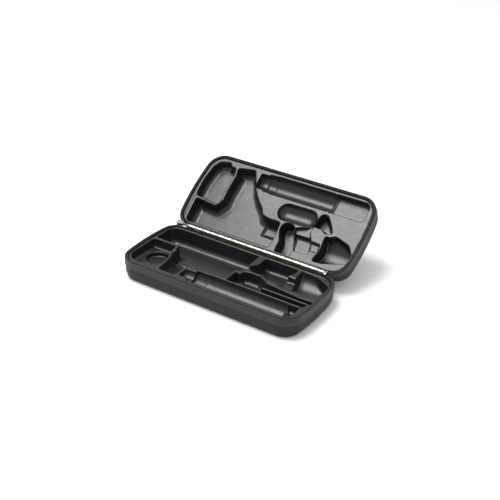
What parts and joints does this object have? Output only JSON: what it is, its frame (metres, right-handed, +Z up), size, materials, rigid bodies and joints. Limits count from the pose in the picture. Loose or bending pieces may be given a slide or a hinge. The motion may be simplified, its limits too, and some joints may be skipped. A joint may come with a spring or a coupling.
{
  "type": "otoscope carry case",
  "caption": "Hard zip-around carry case, shown open on its long rear hinge, with a formed tray of shaped pockets in the base and in the lid.",
  "frame": {"origin": "centre of the base's flat underside, on the table", "axes": "+X along the hinge towards the end stop away from the slider, -Y towards the front of the open base, +Z up"},
  "size_m": [0.2906, 0.2536, 0.1063],
  "materials": {
    "case_fabric": "satin charcoal woven cover, laminated over the moulded shell",
    "zip_tape": "dark woven tape",
    "zip_coil": "dark moulded coil",
    "welt": "smooth edge binding",
    "tray_plastic": "satin charcoal, fine grain",
    "hinge_leaf": "dull olive grey",
    "rivet": "dull",
    "hinge_nickel": "bright nickel",
    "slider_metal": "gunmetal, satin"
  },
  "bodies": {
    "base": {"base_shell": "case_fabric", "base_tray": "tray_plastic", "base_zip_tape": "zip_tape", "base_zip_coil": "zip_coil", "base_welt": "welt", "base_hinge_leaf": "hinge_leaf", "base_hinge_rivets": "rivet", "hinge_pin": "hinge_nickel", "zip_stop_left": "hinge_nickel", "zip_stop_right": "hinge_nickel", "zip_slider": "slider_metal", "slider_crown": "slider_metal"},
    "lid": {"lid_shell": "case_fabric", "lid_tray": "tray_plastic", "lid_zip_tape": "zip_tape", "lid_zip_coil": "zip_coil", "lid_welt": "welt", "lid_hinge_leaf": "hinge_leaf", "lid_hinge_rivets": "rivet"},
    "pull": {"zip_pull": "slider_metal"}
  },
  "joints": [
    {"name": "lid_hinge", "type": "hinge", "parent": "base", "child": "lid", "pos_m": [0, 0.06565, 0.033], "axis": [1, 0, 0], "range_deg": [0, 145.3]},
    {"name": "pull_hinge", "type": "hinge", "parent": "base", "child": "pull", "pos_m": [-0.12903, 0.06705, 0.02851], "axis": [0, 0.9545, 0.2982], "range_deg": [-65, 90]}
  ]
}
